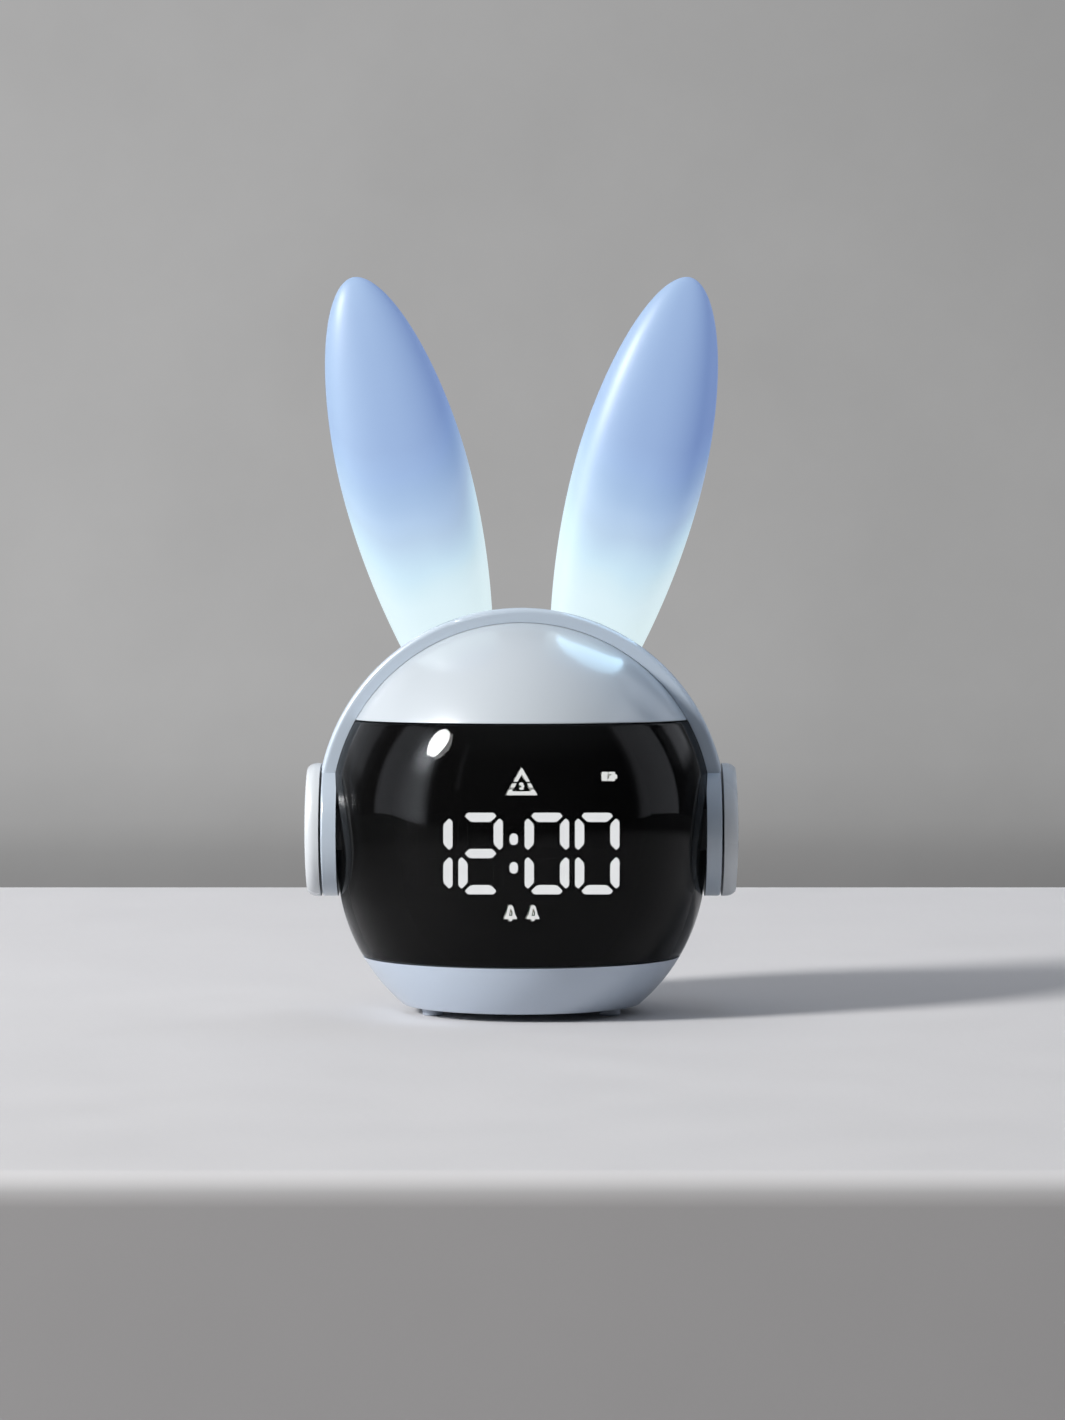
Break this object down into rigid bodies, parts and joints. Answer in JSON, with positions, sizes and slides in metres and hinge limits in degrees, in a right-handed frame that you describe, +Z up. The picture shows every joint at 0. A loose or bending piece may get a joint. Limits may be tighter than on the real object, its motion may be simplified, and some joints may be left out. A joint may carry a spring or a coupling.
{
  "type": "kids alarm clock with night light",
  "caption": "Round-headed child's alarm clock and night light with two glowing upright ears, dark wraparound digital display, headband with ear-cup buttons and rear keys.",
  "frame": {"origin": "on the table under the middle of the round head", "axes": "+Z up, the display faces -Y, +X is to the right of someone who faces the display"},
  "size_m": [0.1062, 0.0928, 0.18],
  "materials": {
    "shell_plastic": "satin gloss, pale blue-white",
    "band_plastic": "satin gloss, pale blue",
    "cap_plastic": "satin gloss, white",
    "lens_tint": "polished smoked acrylic",
    "mask_black": "matt black",
    "ear_plastic": "translucent, lit from its root",
    "inner_plastic": "moulded, plain",
    "white_plastic": "moulded, plain",
    "lit_diffuser": "lit from behind",
    "dark_diffuser": "unlit",
    "led": "clear package",
    "board": "solder mask",
    "ear_board": "white solder mask",
    "chip": "moulded package",
    "switch_body": "moulded",
    "steel": "bright zinc plate",
    "foil_cell": "printed sleeve",
    "strap": "matt",
    "ribbon": "flat flexible cable",
    "wire": "insulated wire",
    "basket": "stamped",
    "cone": "pressed paper",
    "magnet": "dull plate",
    "foot_rubber": "soft, matt"
  },
  "bodies": {
    "housing": {"forehead_shell": "shell_plastic", "display_lens": "lens_tint", "base_shell": "shell_plastic", "rear_shell": "shell_plastic", "headband": "band_plastic", "left_cup_switch": "switch_body", "right_cup_switch": "switch_body", "left_switch_board": "board", "right_switch_board": "board", "left_ear": "ear_plastic", "right_ear": "ear_plastic", "left_ear_socket": "white_plastic", "right_ear_socket": "white_plastic", "left_ear_nut": "white_plastic", "right_ear_nut": "white_plastic", "left_ear_board": "ear_board", "right_ear_board": "ear_board", "left_ear_leds": "led", "right_ear_leds": "led", "left_ear_wires": "wire", "right_ear_wires": "wire", "display_mask": "mask_black", "lit_segments": "lit_diffuser", "dark_segments": "dark_diffuser", "display_icons": "lit_diffuser", "display_reflector": "white_plastic", "display_board": "board", "segment_leds": "led", "display_ribbon": "ribbon", "chassis": "inner_plastic", "main_board": "board", "main_chips": "chip", "battery_cell": "foil_cell", "battery_holder": "inner_plastic", "battery_strap": "strap", "battery_wires": "wire", "rear_panel": "shell_plastic", "key_switches": "switch_body", "key_board": "board", "key_ribbon": "ribbon", "power_switch": "steel", "usb_socket": "steel", "speaker_frame": "basket", "speaker_cone": "cone", "speaker_magnet": "magnet", "speaker_wires": "wire", "base_plate": "band_plastic", "feet": "foot_rubber", "base_screws": "steel", "shell_screws": "steel", "board_screws": "steel"},
    "left_button": {"left_cup_button": "cap_plastic", "left_button_clip": "steel"},
    "right_button": {"right_cup_button": "cap_plastic", "right_button_clip": "steel"},
    "mode_push": {"mode_key": "cap_plastic"},
    "alarm_push": {"alarm_key": "cap_plastic"},
    "down_push": {"down_key": "cap_plastic"},
    "up_push": {"up_key": "cap_plastic"},
    "power_slider": {"power_knob": "cap_plastic"}
  },
  "joints": [
    {"name": "left_button_press", "type": "slide", "parent": "housing", "child": "left_button", "axis": [1, 0, 0], "range_m": [0, 0.0004], "stiffness_N_per_m": 900},
    {"name": "right_button_press", "type": "slide", "parent": "housing", "child": "right_button", "axis": [-1, 0, 0], "range_m": [0, 0.0004], "stiffness_N_per_m": 900},
    {"name": "mode_key_press", "type": "slide", "parent": "housing", "child": "mode_push", "axis": [0, -1, 0], "range_m": [0, 0.0006], "stiffness_N_per_m": 500},
    {"name": "alarm_key_press", "type": "slide", "parent": "housing", "child": "alarm_push", "axis": [0, -1, 0], "range_m": [0, 0.0006], "stiffness_N_per_m": 500},
    {"name": "down_key_press", "type": "slide", "parent": "housing", "child": "down_push", "axis": [0, -1, 0], "range_m": [0, 0.0006], "stiffness_N_per_m": 500},
    {"name": "up_key_press", "type": "slide", "parent": "housing", "child": "up_push", "axis": [0, -1, 0], "range_m": [0, 0.0006], "stiffness_N_per_m": 500},
    {"name": "power_slide", "type": "slide", "parent": "housing", "child": "power_slider", "axis": [1, 0, 0], "range_m": [0, 0.002]}
  ]
}
